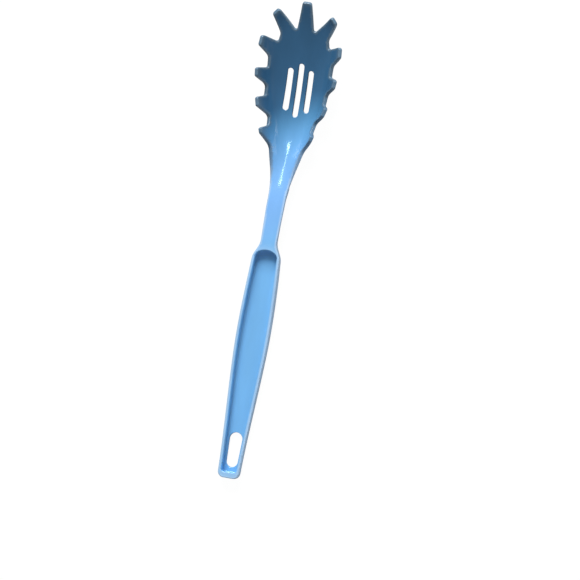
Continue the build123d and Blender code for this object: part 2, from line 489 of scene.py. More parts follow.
@dataclass
class Head:
    """The dished head with its teeth and drain slots.

    Places are shares of its length and of half its width, and the other sizes are millimetres.
    """

    root_x: float = 190.0
    length: float = 130.0
    width: float = 52.8
    wall: float = 2.5
    drop: float = 13.8
    tip_lift: float = 10.0
    tip_tooth_width: float = 6.1
    curl_power: float = 4.0
    slot_width: float = 3.8
    slot_pitch: float = 7.0
    slot_lengths: Triple = (28.2, 35.8, 28.2)
    slot_set_back: float = 57.5
    front_end_rounding: float = 1.6
    rear_end_rounding: float = 2.2
    front_foot_rounding: float = 1.3
    rear_foot_rounding: float = 5.0
    heel_foot_rounding: float = 12.0
    flare_rounding: float = 12.0
    first_valley_rounding: float = 1.2
    first_valley: Span = (0.852, 0.222)
    teeth: tuple[Tooth, ...] = (
        Tooth(None, 0.947, 0.912, (0.828, 0.606)),
        Tooth((0.785, 0.640), 0.808, 0.750, (0.706, 0.800)),
        Tooth((0.648, 0.782), 0.638, 0.592, (0.561, 0.758)),
        Tooth((0.505, 0.735), 0.491, 0.445, (0.408, 0.572)),
        Tooth((0.358, 0.537), 0.338, 0.308, (0.254, 0.392)),
    )
    flare: tuple[Span, ...] = ((0.030, 0.232), (0.085, 0.262), (0.140, 0.292), (0.190, 0.333))
    # The guide through the tooth ends: a place, and shares of the half width, the whole rise and the power.
    guide: tuple[tuple[float, float, float, float], ...] = (
        (-0.400, 0.35, 0.00, 0.50),
        (-0.120, 0.33, 0.00, 0.50),
        (0.000, 0.32, 0.01, 0.50),
        (0.100, 0.37, 0.07, 0.50),
        (0.220, 0.49, 0.44, 0.60),
        (0.315, 0.61, 0.73, 0.85),
        (0.468, 0.84, 0.80, 1.00),
        (0.615, 0.98, 0.72, 1.00),
        (0.780, 1.00, 0.51, 1.00),
        (0.915, 0.79, 0.25, 1.00),
        (0.951, 0.64, 0.19, 1.00),
        (1.040, 0.38, 0.10, 1.00),
    )
    # The centre line: a place, and the share of the drop on its way down or of the climb on its way up.
    fall: tuple[Span, ...] = (
        (-0.400, 0.070),
        (-0.230, 0.000),
        (-0.115, -0.065),
        (0.000, -0.160),
        (0.076, -0.305),
        (0.153, -0.500),
        (0.244, -0.750),
        (0.336, -0.935),
        (0.427, -1.000),
    )
    rise: tuple[Span, ...] = (
        (0.550, 0.050),
        (0.687, 0.220),
        (0.840, 0.515),
        (0.931, 0.750),
        (1.000, 0.980),
        (1.040, 1.130),
    )
    # How far back on the neck the outline starts, and between which places the handle's face caps the front.
    neck_lead: float = 8.0
    cap_start: float = -0.39
    cap_end: float = 0.1
    cap_softness: float = 0.08
    guide_width: SmoothRun = field(init=False)
    guide_rise: SmoothRun = field(init=False)
    guide_power: SmoothRun = field(init=False)
    floor: SmoothRun = field(init=False)

    def __post_init__(self) -> None:
        """Work out the guide and the centre line from their shares."""
        places = [row[0] for row in self.guide]
        self.guide_width = SmoothRun(places, [row[1] for row in self.guide])
        self.guide_rise = SmoothRun(places, [row[2] for row in self.guide])
        self.guide_power = SmoothRun(places, [row[3] for row in self.guide])
        line = [(place, share * self.drop) for place, share in self.fall]
        line += [(place, share * (self.drop + self.tip_lift) - self.drop) for place, share in self.rise]
        self.floor = SmoothRun([row[0] for row in line], [row[1] for row in line])

    def place(self, x: Array) -> Array:
        """Return the share of the head's length at an X."""
        return (x - self.root_x) / self.length

    def past_root(self, span: Span, x: Array) -> Array:
        """Return a smooth rise from zero to one over a span of X that counts from the head's root."""
        return smooth_step(self.root_x + span[0], self.root_x + span[1], x)

    def floor_height(self, x: Array) -> Array:
        """Return the height of the front's centre line."""
        return self.floor(self.place(x))

    def front_height(self, plan: Array) -> Array:
        """Return the height of the dished front: the centre line, and a rise by a power of the share across.

        Args:
            plan: plan points, one row each.

        Returns:
            The height of each, capped softly near the neck by the flat face of the handle.
        """
        place = self.place(plan[:, 0])
        across = np.abs(plan[:, 1]) / (self.width / 2 * self.guide_width(place))
        rise = (self.drop + self.tip_lift) * np.maximum(self.guide_rise(place), 0)
        height = self.floor(place) + rise * across ** (self.curl_power * self.guide_power(place))
        capped = -soft_max(-height, np.zeros(len(height)), self.cap_softness)
        by_the_neck = np.where(place < self.cap_start, 0, capped)
        return np.where(place > self.cap_end, height, by_the_neck)

    def point(self, place: float, out: float) -> tuple[float, float]:
        """Return the plan point at a share of the length and of half the width."""
        return (self.root_x + place * self.length, out * self.width / 2)

    def outline(self, neck_width: float) -> Array:
        """Return one side of the plan, from the neck round the flare and the teeth to the tip tooth's middle.

        Args:
            neck_width: the width of the neck that the flare leaves.

        Returns:
            The plan points, one row each, with every corner rounded.
        """
        neck = neck_width / 2
        corners = [(self.root_x - self.neck_lead, neck), (self.root_x, neck)]
        corners += [self.point(*place) for place in self.flare]
        radii = [self.flare_rounding] * (1 + len(self.flare))
        foot_roundings = [self.heel_foot_rounding] + [self.rear_foot_rounding] * (len(self.teeth) - 1)
        for foot_rounding, tooth in zip(foot_roundings, reversed(self.teeth)):
            ends = (tooth.rear_end, tooth.front_end)
            corners.append(self.point(*tooth.rear_foot))
            corners += [self.point(place, float(self.guide_width(place))) for place in ends]
            radii += [foot_rounding, self.rear_end_rounding, self.front_end_rounding]
            if tooth.front_foot is not None:
                corners.append(self.point(*tooth.front_foot))
                radii.append(self.front_foot_rounding)
        tip_x = self.root_x + self.length
        corners += [self.point(*self.first_valley), (tip_x, self.tip_tooth_width / 2), (tip_x, 0)]
        radii += [self.first_valley_rounding, self.front_end_rounding]
        return rounded_corners(np.array(corners), np.array(radii), steps=9)

    def slot_outline(self, length: float) -> Array:
        """Return one side of a drain slot about its own middle.

        Args:
            length: its whole length.

        Returns:
            The plan points, one row each.
        """
        radius = self.slot_width / 2
        middle_x = self.root_x + self.length - self.slot_set_back
        straight = length / 2 - radius
        return slot_side(middle_x - straight, radius, middle_x + straight, radius, steps=12)


@dataclass
class ClosedMesh:
    """Points and faces gathered piece by piece into one closed surface."""

    points: list[Array] = field(default_factory=list)
    faces: list[Array] = field(default_factory=list)
    rims: list[Array] = field(default_factory=list)
    normals: list[Array] = field(default_factory=list)
    count: int = 0

    def add(self, points: Array, rim: Array | float, normals: Array | float = 0.0) -> Array:
        """Add points and return their numbers.

        Args:
            points: the points, with X, Y and Z last.
            rim: how much they belong to a rounded rim, from zero to one.
            normals: the way that the surface faces at each, or zero where the faces decide it.

        Returns:
            The numbers, in the shape of the points.
        """
        shape = points.shape[:-1]
        flat = points.reshape(-1, 3)
        self.points.append(flat)
        self.rims.append(np.broadcast_to(rim, len(flat)).astype(float))
        self.normals.append(np.broadcast_to(normals, flat.shape).astype(float))
        numbers = np.arange(self.count, self.count + len(flat)).reshape(shape)
        self.count += len(flat)
        return numbers

    def bridge(self, rings: Array, rim: Array | float) -> Array:
        """Join closed rings of points with four-sided faces.

        Args:
            rings: the rings in order, with as many points in each.
            rim: how much the points belong to a rounded rim, from zero to one.

        Returns:
            The numbers of the points, one row for each ring.
        """
        numbers = self.add(rings, rim)
        upper = numbers[:-1]
        lower = numbers[1:]
        quads = np.stack([upper, lower, np.roll(lower, -1, axis=1), np.roll(upper, -1, axis=1)], axis=-1)
        self.faces.append(quads.reshape(-1, 4))
        return numbers

    def write(self, name: str) -> bpy.types.Object:
        """Make an object of the gathered mesh, with its rim shares as an attribute.

        Args:
            name: the name of the object and its mesh.

        Returns:
            The new object.
        """
        mesh = bpy.data.meshes.new(name)
        faces = [face for block in self.faces for face in block.tolist()]
        mesh.from_pydata(np.vstack(self.points).tolist(), [], faces)
        rim = mesh.attributes.new("rim", "FLOAT", "POINT")
        rim.data.foreach_set("value", np.concatenate(self.rims).astype(np.float32))
        mesh.polygons.foreach_set("use_smooth", np.ones(len(faces), bool))
        mesh.validate()
        mesh.update()
        mesh.normals_split_custom_set_from_vertices(np.vstack(self.normals).tolist())
        piece = bpy.data.objects.new(name, mesh)
        bpy.context.scene.collection.objects.link(piece)
        return piece


@dataclass
class Skin:
    """A wall with a front and a back, both heights over the same plan.

    The spans are millimetres from the head's root: over the first, the way through the wall turns square to
    the front, and over the second, the bar's back gives way to the even wall. Beside the spine that back
    climbs by a steep slope, and a softness rounds where it meets the wall.
    """

    handle: Handle
    head: Head
    flat_height: float | None = None
    turning_span: Span = (-6.0, 14.0)
    shell_span: Span = (-5.0, 3.0)
    beside_spine: float = 5.0
    spine_softness: float = 0.25

    def front(self, plan: Array) -> Array:
        """Return the points of the front over plan points, on the dished front or at a flat height.

        Args:
            plan: plan points, one row each.

        Returns:
            The point over each.
        """
        if self.flat_height is None:
            return np.column_stack([plan, self.head.front_height(plan)])
        return np.column_stack([plan, np.full(len(plan), self.flat_height)])

    def down(self, plan: Array) -> Array:
        """Return the way through the wall: square to the dished front, and straight down in handle and neck.

        Args:
            plan: plan points, one row each.

        Returns:
            The direction at each, of length one.
        """
        share = self.head.past_root(self.turning_span, plan[:, 0])[:, None]
        return unit(-facing(self.front, plan) * share - np.array([0, 0, 1]) * (1 - share))

    def back_line(self, x: Array) -> Array:
        """Return the height of the back of the bar: handle, neck and the spine that runs out under the heel.

        It is a smooth run through the handle's three depths and four places under the front's centre line.
        Past the spine it climbs away at an even slope.

        Args:
            x: places along the tool.

        Returns:
            The height at each.
        """
        handle = self.handle
        head = self.head
        widest_x = handle.widest_share * handle.length
        neck_x = handle.length + handle.neck_middle * handle.neck_length
        middle_x = head.root_x + handle.spine_middle * handle.spine_reach
        tip_x = head.root_x + handle.spine_reach
        middle_depth = handle.spine_middle_depth * handle.neck_depth
        depths = {
            neck_x: handle.neck_depth,
            head.root_x: handle.neck_depth,
            middle_x: middle_depth,
            tip_x: handle.spine_tip_depth * head.wall,
        }
        places = [0, widest_x, handle.length, *depths]
        heights = [-handle.butt_depth, -handle.widest_depth, -handle.shoulder_depth]
        heights += [float(head.floor_height(place)) - depth for place, depth in depths.items()]
        return SmoothRun(places, heights)(x) + handle.past_spine * np.maximum(x - tip_x, 0)

    def depth(self, plan: Array) -> Array:
        """Return the thickness of the wall.

        In the handle and neck it reaches the bar's back. In the head it is the even wall, or the spine where
        that is deeper: the spine has rounded edges, and past its sides it gives way to the wall.

        Args:
            plan: plan points, one row each.

        Returns:
            The thickness at each.
        """
        x = plan[:, 0]
        bar = self.front(plan)[:, 2] - self.back_line(x)
        if self.flat_height is not None:
            return bar
        radius = self.handle.back_rounding
        out = np.abs(plan[:, 1]) - self.handle.spine_half_width(x) + radius
        rounding = radius - np.sqrt(radius**2 - np.clip(out, 0, radius) ** 2)
        edge = rounding + self.beside_spine * np.maximum(out - radius, 0)
        spine = soft_max(bar - edge, np.full(len(x), self.head.wall), self.spine_softness)
        share = self.head.past_root(self.shell_span, x)
        return bar * (1 - share) + spine * share

    def back(self, plan: Array) -> Array:
        """Return the points of the back behind plan points of the front."""
        return self.front(plan) + self.down(plan) * self.depth(plan)[:, None]


@dataclass
class PastaServer:
    """The whole moulding, one closed mesh. Sizes are millimetres."""

    handle: Handle = field(default_factory=Handle)
    head: Head = field(default_factory=Head)
    outline_step: float = 0.4
    fill_step: float = 1.15
    rim_rounding: float = 0.6
    recess_rim_rounding: float = 0.45
    slot_rounding: float = 0.35
    shell_back_rounding: float = 0.6
    # How far inside an edge its rings start and end, and the angles that set out its two quarter circles.
    margin: float = 0.12
    front_angles: int = 5
    back_angles: int = 6
    # The corner of the recess's floor is smaller beside the hang slot, by a share that fades over a span.
    corner_easing: float = 0.15
    easing_span: Span = (30.0, 44.0)
    # From the head's root, where the rounding of the handle's back gives way to the shell's.
    back_round_span: Span = (-3.0, 7.0)
    # The rims: how much the flat rim and the tooth ends belong to them, over what they fade, from the
    # handle's end and from the head's root, and which of an edge's rings hold them. The rims take the
    # plastic's painted highlights and a higher roughness.
    flat_rim_share: float = 0.6
    flat_rim_span: Span = (-4.0, 6.0)
    tooth_end_share: float = 0.8
    tooth_fade: float = 3.2
    tooth_span: Span = (30.0, 40.0)
    rim_rings_from_end: tuple[int, int] = (7, 2)
    recess_rim_rings: int = 3
    # How the filling points lie: shares of their step and of the outline's, and the rows beside the spine.
    row_share: float = 0.87
    extra_clearance: float = 0.6
    loop_clearance: float = 0.9
    spine_lead: float = 4.0
    spine_step: float = 0.7
    spine_rows: tuple[float, ...] = (-2.6, -2.0, -1.4, -0.9, -0.5, -0.2, 0.05, 0.3, 0.7)

    def edge(
        self, skin: Skin, loop: Array, front_round: float, back_round: Array
    ) -> tuple[Array, Array, Array]:
        """Return the rings that carry a rounded edge profile round a loop, from the front to the back.

        The profile is drawn in the plane of two directions at each point of the loop: inwards along the
        surface and down through the wall. It has a quarter circle at the front, the straight wall, and a
        quarter circle at the back, and starts and ends a margin inside them.

        Args:
            skin: the wall whose edge it is.
            loop: plan points, with the material on their left.
            front_round: the radius at the front.
            back_round: the radius at the back, for each point.

        Returns:
            The rings, and the plan loops of the first and the last.
        """
        top = skin.front(loop)
        down = skin.down(loop)
        along = unit(np.roll(top, -1, axis=0) - np.roll(top, 1, axis=0))
        inwards = unit(np.cross(-down, along))
        far = back_round[:, None]
        front_plans = [(top + inwards * reach)[:, :2] for reach in (front_round + self.margin, front_round)]
        back_plans = [(top + inwards * reach)[:, :2] for reach in (far, far + self.margin)]
        depth = skin.depth(back_plans[0])[:, None]
        rings = [skin.front(plan) for plan in front_plans]
        rings += rim_arc(top, inwards, down, front_round, quarter_turn(self.front_angles)[1:])
        rings += foot_arc(top, inwards, down, depth, far, quarter_turn(self.back_angles)[:-1])
        rings += [skin.back(plan) for plan in back_plans]
        return np.stack(rings), front_plans[0], back_plans[1]

    def recess_edge(self, skin: Skin, loop: Array) -> tuple[Array, Array, Array]:
        """Return the rings from the rim of the recess down its wall and round the corner of its floor.

        The profile is a quarter circle round the rim, the upright wall, and a hollow quarter circle into the
        floor. It starts and ends a margin past them.

        Args:
            skin: the wall that the recess is cut into.
            loop: plan points of the recess, with the material on their left.

        Returns:
            The rings, and the plan loops of the first and the last.
        """
        top = skin.front(loop)
        along = unit(np.roll(top, -1, axis=0) - np.roll(top, 1, axis=0))
        down = np.array([0, 0, -1.0])
        inwards = unit(np.cross(-down, along))
        rim = self.recess_rim_rounding
        beside_slot = 1 - smooth_step(*self.easing_span, loop[:, :1])
        corner = self.handle.recess_floor_corner * (1 - self.corner_easing * beside_slot)
        depth = self.handle.recess_depth
        angles = quarter_turn(self.front_angles)
        rings = [top + inwards * (rim + self.margin)]
        rings += rim_arc(top, inwards, down, rim, angles)
        rings += foot_arc(top, -inwards, down, depth, corner, angles)
        rings += [top - inwards * (corner + self.margin) + down * depth]
        return np.stack(rings), rings[0][:, :2], rings[-1][:, :2]

    def rim_share(self, plan: Array) -> Array:
        """Return how much the front belongs to a rim, which takes a painted highlight and a higher roughness.

        That is the handle's flat rim all along the recess, and the last millimetres of each tooth, which fade
        inwards from the guide or from the tip.

        Args:
            plan: plan points, one row each.

        Returns:
            The share of each.
        """
        x = plan[:, 0]
        head = self.head
        start, end = self.flat_rim_span
        flat_rim = 1 - smooth_step(self.handle.length + start, self.handle.length + end, x)
        guide = head.guide_width(head.place(x)) * head.width / 2
        side_end = smooth_step(guide - self.tooth_fade, guide, np.abs(plan[:, 1]))
        tip_x = head.root_x + head.length
        tip_end = smooth_step(tip_x - self.tooth_fade, tip_x, x)
        tooth_end = np.maximum(side_end * head.past_root(self.tooth_span, x), tip_end)
        return np.maximum(self.flat_rim_share * flat_rim, self.tooth_end_share * tooth_end)

    def spread(self, plans: list[Array], extra: Array) -> Array:
        """Return points spread between loops in even rows, every second row set off by half a step.

        Args:
            plans: the plan points of each loop, the outermost first.
            extra: plan points that are there already, which the rows keep clear of.

        Returns:
            The plan points in the region, without those that lie close to a loop.
        """
        low = plans[0].min(0)
        high = plans[0].max(0)
        rows = np.arange(low[1], high[1], self.fill_step * self.row_share)
        columns = np.arange(low[0], high[0], self.fill_step)
        x, y = np.meshgrid(columns, rows)
        x = x + (np.arange(len(rows)) % 2)[:, None] * self.fill_step / 2
        points = np.column_stack([x.ravel(), y.ravel()])
        if len(extra):
            clear = clear_of(points, extra, self.fill_step * self.extra_clearance)
            points = np.vstack([extra, points[clear]])
        points = points[inside(points, plans)]
        return points[clear_of(points, np.vstack(plans), self.outline_step * self.loop_clearance)]

    def fill(
        self,
        mesh: ClosedMesh,
        loops: list[Loop],
        surface: Callable[[Array], Array],
        side: Side,
        extra: Array,
        rim_share: Callable[[Array], Array | float],
    ) -> None:
        """Fill the region between loops with triangles over evenly spread points of a surface.

        The points are joined in plan by a Delaunay triangulation that keeps the loops as edges. Each has the
        surface's own height and, on an upper side, the surface's own normal.

        Args:
            mesh: the mesh that takes the faces.
            loops: each loop's plan points and their numbers in the mesh.
            surface: gives the points of the surface over plan points.
            side: which way the faces look.
            extra: more plan points to spread in the region.
            rim_share: gives how much places belong to a rim.
        """
        plans = [plan for plan, numbers in loops]
        spread = self.spread(plans, extra)
        normals = facing(surface, spread) if side is Side.UP else 0.0
        added = mesh.add(surface(spread), rim_share(spread), normals)
        numbers = np.concatenate([*[numbers for plan, numbers in loops], added])
        starts = np.cumsum([0] + [len(plan) for plan in plans])
        rounds = [np.arange(start, end) for start, end in zip(starts[:-1], starts[1:])]
        edges = np.vstack([np.column_stack([line, np.roll(line, -1)]) for line in rounds])
        plan = np.vstack([*plans, spread])
        result = delaunay_2d_cdt(plan.tolist(), edges.tolist(), [], FILL_BUT_HOLES, SAME_PLACE)
        source = np.array([origin[0] for origin in result[3]])
        corners = source[np.array(result[2])]
        corners = corners[inside(plan[corners].mean(1), plans)]
        a, b, c = (plan[corners[:, k]] for k in range(3))
        turn = (b - a)[:, 0] * (c - a)[:, 1] - (b - a)[:, 1] * (c - a)[:, 0]
        corners = np.where((turn * side.value > 0)[:, None], corners, corners[:, ::-1])
        mesh.faces.append(numbers[corners])

    def spine_points(self) -> Array:
        """Return plan points that follow the rounded sides of the spine, closer where its back bends.

        They lie in rows, at set distances from the spine's half width.

        Returns:
            The plan points on both sides, one row each.
        """
        root_x = self.head.root_x
        x = np.arange(root_x - self.spine_lead, root_x + self.handle.spine_reach, self.spine_step)
        y = self.handle.spine_half_width(x)[:, None] + np.array(self.spine_rows)
        half = np.column_stack([np.repeat(x, len(self.spine_rows)), y.ravel()])
        return np.vstack([half, half * (1, -1)])

    def wall_of_slot(self, mesh: ClosedMesh, skin: Skin, half: Array, across: float) -> tuple[Loop, Loop]:
        """Add the wall of a slot, with both its edges rounded.

        Args:
            mesh: the mesh that takes the faces.
            skin: the wall that the slot goes through.
            half: one side of the slot about the middle line.
            across: how far to the side of the middle line the slot lies.

        Returns:
            The slot's loop in the front and its loop in the back.
        """
        loop = mirrored_loop(half, self.outline_step)[::-1] + (0, across)
        back_round = np.full(len(loop), self.slot_rounding)
        rings, front_plan, back_plan = self.edge(skin, loop, self.slot_rounding, back_round)
        numbers = mesh.bridge(rings, 0.0)
        return (front_plan, numbers[0]), (back_plan, numbers[-1])

    def build(self) -> bpy.types.Object:
        """Build the moulding: its outer edge, the recess, the slots, and then the surfaces between them.

        Returns:
            One closed object that lies as its solid does.
        """
        handle = self.handle
        skin = Skin(handle, self.head)
        floor = Skin(handle, self.head, -handle.recess_depth)
        mesh = ClosedMesh()
        half = np.vstack([handle.outline(), self.head.outline(handle.neck_width)])
        outline = mirrored_loop(half, self.outline_step)
        share = self.head.past_root(self.back_round_span, outline[:, 0])
        back_round = handle.back_rounding * (1 - share) + self.shell_back_rounding * share
        rings, front_plan, back_plan = self.edge(skin, outline, self.rim_rounding, back_round)
        # The outer edge's rings carry the rim share: painted highlights on the grip and teeth, and painted
        # shade on the flare.
        fade_start, fade_end = (len(rings) - count for count in self.rim_rings_from_end)
        ring_rims = 1 - smooth_step(fade_start, fade_end, np.arange(len(rings)))
        numbers = mesh.bridge(rings, np.repeat(ring_rims, len(outline)))
        fronts = [(front_plan, numbers[0])]
        backs = [(back_plan, numbers[-1])]

        recess = mirrored_loop(handle.recess_outline(), self.outline_step)[::-1]
        rings, rim_plan, floor_plan = self.recess_edge(skin, recess)
        # The recess's rim rings take the rim share, and with it a painted highlight.
        on_rim = np.arange(len(rings))[:, None] < self.recess_rim_rings
        numbers = mesh.bridge(rings, (on_rim * self.rim_share(recess)).ravel())
        fronts.append((rim_plan, numbers[0]))
        floors = [(floor_plan[::-1], numbers[-1][::-1])]

        slot_in_floor, slot_in_back = self.wall_of_slot(mesh, floor, handle.hang_slot_outline(), 0.0)
        floors.append(slot_in_floor)
        backs.append(slot_in_back)
        for row, length in zip((-1, 0, 1), self.head.slot_lengths):
            side = self.head.slot_outline(length)
            across = row * self.head.slot_pitch
            slot_in_front, slot_in_back = self.wall_of_slot(mesh, skin, side, across)
            fronts.append(slot_in_front)
            backs.append(slot_in_back)

        nothing = np.empty((0, 2))
        self.fill(mesh, fronts, skin.front, Side.UP, nothing, self.rim_share)
        self.fill(mesh, floors, floor.front, Side.UP, nothing, lambda plan: 0.0)
        self.fill(mesh, backs, skin.back, Side.DOWN, self.spine_points(), lambda plan: 0.0)
        mesh.points = [self.laid_down(np.vstack(mesh.points))]
        mesh.normals = [self.leaned(np.vstack(mesh.normals))]
        piece = mesh.write("server_moulding")
        LOG.info("moulding: %d points, %d faces", len(piece.data.vertices), len(piece.data.polygons))
        return piece

    def rest_angle(self) -> float:
        """Return how far the moulding leans, in radians, as it lies on its bowl's belly and its butt."""
        belly_x = self.head.root_x + self.head.fall[-1][0] * self.head.length
        return atan2(self.head.drop + self.head.wall - self.handle.butt_depth, belly_x)

    def leaned(self, rows: Array) -> Array:
        """Turn points or directions about Y to the rest angle.

        Args:
            rows: X, Y and Z in the drawing frame, one row each.

        Returns:
            The turned rows.
        """
        angle = self.rest_angle()
        x = rows[:, 0] * cos(angle) - rows[:, 2] * sin(angle)
        z = rows[:, 0] * sin(angle) + rows[:, 2] * cos(angle)
        return np.column_stack([x, rows[:, 1], z])

    def laid_down(self, points: Array) -> Array:
        """Turn points to the rest angle and move them to the middle and the bottom of the solid's box.

        Args:
            points: X, Y and Z in the drawing frame, one row each.

        Returns:
            The points in metres, in the shared frame.
        """
        low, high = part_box(NODE)
        x, y, z = self.leaned(points).T
        x = x - (x.min() + x.max()) / 2
        z = z - z.min()
        middle = (low + high) / 2
        return np.column_stack([x * MM + middle.x, y * MM + middle.y, z * MM + low.z])


def add_node(tree: bpy.types.NodeTree, kind: str, settings: dict, inputs: dict) -> bpy.types.Node:
    """Add a shader node.

    Args:
        tree: the tree that takes the node.
        kind: its type, without the leading ShaderNode.
        settings: its own settings by name.
        inputs: what its inputs get by name or number, a value or another node's output.

    Returns:
        The node.
    """
    node = tree.nodes.new("ShaderNode" + kind)
    for name, value in settings.items():
        setattr(node, name, value)
    for name, value in inputs.items():
        if isinstance(value, bpy.types.NodeSocket):
            tree.links.new(value, node.inputs[name])
        else:
            node.inputs[name].default_value = value
    return node


def reckon(
    tree: bpy.types.NodeTree, operation: str, *values: bpy.types.NodeSocket | float
) -> bpy.types.NodeSocket:
    """Add a Math node that works on some values, and return the socket with its result."""
    return add_node(tree, "Math", {"operation": operation}, dict(enumerate(values))).outputs[0]


def moulded_grain(stretch: float = 0.18) -> bpy.types.NodeTree:
    """Return the node group of a moulded surface: faint flow streaks along X, cloudy gloss, and a fine grain.

    Args:
        stretch: the scale along X of the noise that makes the streaks, where one is round.

    Returns:
        A group with the inputs Flow and Grain, in waves to the metre, and the outputs Tone, Cloud and Height.
    """
    group = bpy.data.node_groups.new("moulded_grain", "ShaderNodeTree")
    for name in ("Flow", "Grain"):
        group.interface.new_socket(name, in_out="INPUT", socket_type="NodeSocketFloat")
    for name in ("Tone", "Cloud", "Height"):
        group.interface.new_socket(name, in_out="OUTPUT", socket_type="NodeSocketFloat")
    given = group.nodes.new("NodeGroupInput").outputs
    result = group.nodes.new("NodeGroupOutput").inputs
    place = add_node(group, "TexCoord", {}, {}).outputs["Object"]
    along = add_node(group, "Mapping", {}, {"Vector": place, "Scale": (stretch, 1, 1)}).outputs["Vector"]
    noises = {
        "Tone": {"Vector": along, "Scale": given["Flow"], "Detail": 3},
        "Cloud": {"Vector": place, "Scale": given["Flow"], "Detail": 1},
        "Height": {"Vector": place, "Scale": given["Grain"], "Detail": 2},
    }
    for name, inputs in noises.items():
        group.links.new(add_node(group, "TexNoise", {}, inputs).outputs["Fac"], result[name])
    return group


@dataclass(frozen=True)
class BluePlastic:
    """The glossy blue plastic: light blue, with painted shade that darkens it from the handle to a dark steel
    blue in the bowl.

    Its edges carry painted highlights that make them paler and greyer, and painted shade that makes them
    darker on the flare beside the heel. Places are metres from the middle of the tool. The ramp of tones and
    painted shade runs along X, and painted_shade_slant and painted_shade_bow say how much further on a place
    beside the middle line counts, by its Y and by the square of it, so that the painted shade is darker on
    the +Y side and towards both sides of the bowl.
    """

    # From the bowl to the grip: the light blue grip is the plastic's own colour, and the darker bowl, heel
    # and neck are painted shade.
    bowl_with_painted_shade: Triple = (0.024, 0.081, 0.170)
    heel_with_painted_shade: Triple = (0.090, 0.275, 0.480)
    neck: Triple = (0.179, 0.383, 0.728)
    grip: Triple = (0.178, 0.456, 0.772)
    # The paler edges of bowl and grip are painted highlights, and the dark flare edge is painted shade.
    bowl_edge_painted_highlight: Triple = (0.135, 0.205, 0.265)
    flare_edge_painted_shade: Triple = (0.022, 0.052, 0.098)
    grip_edge_painted_highlight: Triple = (0.395, 0.555, 0.760)
    painted_edge_share: float = 0.75
    grip_x: float = -0.012
    bowl_x: float = 0.100
    tone_places: tuple[float, ...] = (0.012, 0.042, 0.076)
    painted_edge_places: tuple[float, ...] = (0.036, 0.062)
    # How far the painted shade leans across the tool and bows towards the bowl's sides.
    painted_shade_slant: float = 0.59
    painted_shade_bow: float = 18.0
    ior: float = 1.49
    flow: float = 70.0
    grain: float = 1800.0
    noise_span: Span = (0.3, 0.7)
    brightness_span: Span = (0.92, 1.07)
    roughness_span: Span = (0.09, 0.15)
    rim_roughness: float = 0.12
    grain_strength: float = 0.25
    grain_height: float = 0.000008

    def ramp(
        self,
        tree: bpy.types.NodeTree,
        share: bpy.types.NodeSocket,
        colours: tuple[Triple, ...],
        places: tuple[float, ...],
    ) -> bpy.types.NodeSocket:
        """Add a smooth ramp of colours along the tool.

        Args:
            tree: the material's tree.
            share: how far a place lies from the grip to the bowl, 0 to 1.
            colours: the colours from the grip to the bowl.
            places: where the colours between the first and the last stand, in metres.

        Returns:
            The socket with the colour.
        """
        node = add_node(tree, "ValToRGB", {}, {"Fac": share})
        node.color_ramp.interpolation = "B_SPLINE"
        for place in places:
            node.color_ramp.elements.new((place - self.grip_x) / (self.bowl_x - self.grip_x))
        for element, colour in zip(node.color_ramp.elements, colours):
            element.color = (*colour, 1)
        return node.outputs["Color"]

    def spread(
        self, tree: bpy.types.NodeTree, noise: bpy.types.NodeSocket, span: Span
    ) -> bpy.types.NodeSocket:
        """Add a node that maps the usual range of a noise to a span.

        Args:
            tree: the material's tree.
            noise: the socket with the noise.
            span: the lowest and the highest result.

        Returns:
            The socket with the result.
        """
        ends = ("From Min", "From Max", "To Min", "To Max")
        inputs = dict(zip(ends, (*self.noise_span, *span)))
        return add_node(tree, "MapRange", {}, {"Value": noise, **inputs}).outputs["Result"]

    def share_along(self, tree: bpy.types.NodeTree) -> bpy.types.NodeSocket:
        """Add nodes for the share from grip to bowl, by the sum of X, painted_shade_slant times Y and
        painted_shade_bow times Y squared, which set where the painted shade falls.

        Args:
            tree: the material's tree.

        Returns:
            The socket with the share, 0 to 1.
        """
        place = add_node(tree, "TexCoord", {}, {}).outputs["Object"]
        measure = {"operation": "DOT_PRODUCT"}
        multiply = {"operation": "MULTIPLY"}
        leaning = add_node(tree, "VectorMath", measure, {0: place, 1: (1, self.painted_shade_slant, 0)}).outputs["Value"]
        squares = add_node(tree, "VectorMath", multiply, {0: place, 1: place}).outputs["Vector"]
        bowing = add_node(tree, "VectorMath", measure, {0: squares, 1: (0, self.painted_shade_bow, 0)}).outputs["Value"]
        along = reckon(tree, "ADD", leaning, bowing)
        span = {"Value": along, "From Min": self.grip_x, "From Max": self.bowl_x}
        return add_node(tree, "MapRange", {}, span).outputs["Result"]

    def material(self) -> bpy.types.Material:
        """Make the plastic: a tone along the tool with painted shade, edges with painted highlights and
        painted shade, faint flow streaks and a fine moulded grain.

        Returns:
            The new material.
        """
        material = bpy.data.materials.new("blue_plastic")
        material.use_nodes = True
        tree = material.node_tree
        shader = tree.nodes["Principled BSDF"]
        shader.inputs["IOR"].default_value = self.ior
        share = self.share_along(tree)
        # The tones darken from the grip to the bowl as painted shade. The edge colours are painted
        # highlights, with painted shade on the flare.
        tones_and_painted_shade = (self.grip, self.neck, self.neck, self.heel_with_painted_shade, self.bowl_with_painted_shade)
        edges = (self.grip_edge_painted_highlight, self.grip_edge_painted_highlight, self.flare_edge_painted_shade, self.bowl_edge_painted_highlight)
        tone_and_painted_shade = self.ramp(tree, share, tones_and_painted_shade, self.tone_places)
        edge = self.ramp(tree, share, edges, self.painted_edge_places)
        # The rim attribute lays the painted edge highlights and painted shade over the tone, and roughens the
        # rims.
        rim = add_node(tree, "Attribute", {"attribute_name": "rim"}, {}).outputs["Fac"]
        rim_share = reckon(tree, "MULTIPLY", rim, self.painted_edge_share)
